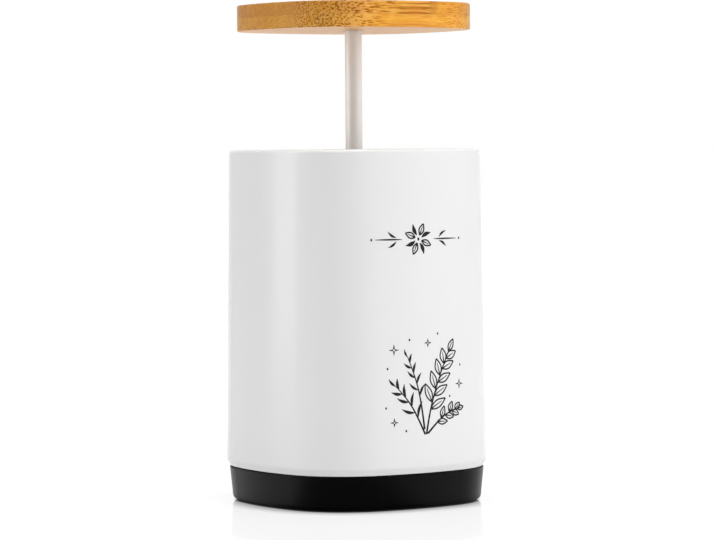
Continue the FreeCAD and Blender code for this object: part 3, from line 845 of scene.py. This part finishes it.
def bambooFigure(tree, b, place, along, side, ends, upperSide):
    # dots and lines together, below 0 dark and above 0 pale, and how much of it is dots
    dotShare = times(tree, remap(tree, ends, *b["dotsFrom"], smooth=True),
                     remap(tree, ends, *b["dotsWeaken"], smooth=True))
    dotShare = times(tree, dotShare, remap(tree, side, *b["dotsFade"]))
    patch = remap(tree, stretchedNoise(tree, place, *b["patches"]), *b["patchTone"])
    dots = times(tree, times(tree, bambooDots(tree, b, place), dotShare), patch)
    start, end = b["figured"]
    figured = times(tree, remap(tree, along, start - b["figuredFade"], start, smooth=True),
                    remap(tree, along, end + b["figuredFade"], end, smooth=True))
    lineShare = remap(tree, times(tree, figured, upperSide), 0, 1, b["linesWeak"], 1.0)
    lineShare = times(tree, lineShare, remap(tree, ends, *b["linesFade"]))
    lineShare = maths(tree, "SUBTRACT", lineShare, times(tree, dotShare, b["linesYield"]))
    lines = remap(tree, stretchedNoise(tree, place, *b["lines"]), *b["lineTone"])
    return maths(tree, "ADD", dots, times(tree, lines, lineShare)), dotShare


def bambooKnuckles(tree, b, place, streak):
    # bands across a strip where the culm had a joint
    wander = remap(tree, stretchedNoise(tree, place, *b["wander"]), 0, 1,
                   -b["knuckleWander"], b["knuckleWander"])
    culm = addNode(tree, "SeparateXYZ", i0=place).outputs[0]
    ring = maths(tree, "PINGPONG", maths(tree, "ADD", culm, wander), b["knuckleSpacing"])
    return times(tree, remap(tree, ring, *b["knuckleEdge"], smooth=True),
                 remap(tree, streak, *b["knuckleBreaks"]))


def bambooFinish(b):
    material, tree = newMaterial("bambooVarnished")
    strip = addNode(tree, "Attribute", {"attribute_name": "strip"}).outputs["Fac"]
    upper = maths(tree, "GREATER_THAN", strip, b["upperFrom"])
    raw = stretched(tree, objectPlace(tree), (1 / mm, 1 / mm, 1 / mm))
    jump = addNode(tree, "VectorMath", {"operation": "SCALE"}, i0=b["stripJump"], Scale=strip).outputs[0]
    place = addNode(tree, "VectorMath", {"operation": "ADD"}, i0=raw, i1=jump).outputs[0]
    along = addNode(tree, "SeparateXYZ", i0=raw).outputs[0]
    side, _, up = addNode(tree, "SeparateXYZ", i0=addNode(tree, "TexCoord").outputs["Normal"]).outputs
    ends = maths(tree, "ABSOLUTE", side)
    top = remap(tree, up, *b["topFrom"], smooth=True)
    aboveUnderside = remap(tree, up, *b["underside"], smooth=True)
    streak = stretchedNoise(tree, place, *b["streaks"])
    drift = stretchedNoise(tree, place, *b["drift"])
    figure, dotShare = bambooFigure(tree, b, place, along, side, ends, maths(tree, "SUBTRACT", upper, top))
    dark = times(tree, figure, -1.0, True)
    knuckle = bambooKnuckles(tree, b, place, streak)
    # colours
    colour = mixColours(tree, remap(tree, streak, *b["streakTone"]), b["light"], b["honey"])
    for share in (remap(tree, drift, *noiseSpread, 0, b["driftHoney"]),
                  remap(tree, strip, 0, 1, 0, b["stripHoney"]),
                  times(tree, dotShare, b["dotsHoney"])):
        colour = mixColours(tree, share, colour, b["honey"])
    colour = mixColours(tree, times(tree, knuckle, b["knuckleNode"]), colour, b["node"])
    colour = mixColours(tree, times(tree, dark, b["darkFibre"], True), colour, b["fibre"])
    colour = mixColours(tree, times(tree, figure, b["groundPale"], True), colour, b["pale"])
    colour = mixColours(tree, upper, colour, mixColours(tree, 1.0, colour, b["upperTint"], "MULTIPLY"))
    # darker ends, and the top face darkened as painted shade
    dim = times(tree, remap(tree, ends, *b["endsFrom"], 1.0, b["endGrain"]),
                remap(tree, top, 0, 1, 1.0, b["paintedTopShade"]))
    colour = mixColours(tree, 1.0, colour, dim, "MULTIPLY")
    # painted reflection: the underside is paled towards the pale tint as its grazing sheen
    colour = mixColours(tree, remap(tree, aboveUnderside, 0, 1, b["paintedSheenShare"], 0), colour, b["paintedSheenTint"])
    # sheen and relief
    rough = remap(tree, aboveUnderside, 0, 1, b["rawRoughness"], b["roughness"])
    rough = maths(tree, "ADD", rough, around(tree, streak, 0, b["roughnessReach"]))
    relief = maths(tree, "SUBTRACT", streak, times(tree, dark, b["fibreRelief"]))
    bump = addBump(tree, relief, b["bumpDepth"], b["bumpStrength"])
    principled(tree, colour, rough, bump, Specular_IOR_Level=b["specular"])
    return material


made = {name: plasticFinish(name, *row) for name, row in plastics.items()}
made.update({name: metalFinish(name, *row) for name, row in metals.items()})
made["bamboo"] = bambooFinish(bamboo)

wears = {
    "shellPlastic": ["outer_shell", "shellSkin"],
    "linerPlastic": ["inner_cup", "mouth_collar"],
    "trayPlastic": ["lift_tray"],
    "basePlastic": ["base_cover"],
    "footRubber": ["foot_pad_1", "foot_pad_2", "foot_pad_3", "foot_pad_4"],
    "ringSilicone": ["friction_ring"],
    "rodEnamel": ["lift_rod"],
    "printInk": ["sidePrint"],
    "screwSteel": ["base_screws", "tray_washer", "tray_screw"],
    "insertBrass": ["lid_insert"],
    "bamboo": ["bamboo_lid", "bambooBoard"],
}
for finish, names in wears.items():
    for name in names:
        slots = bpy.data.objects[name].data.materials
        slots.clear()
        slots.append(made[finish])
print("finishes set")
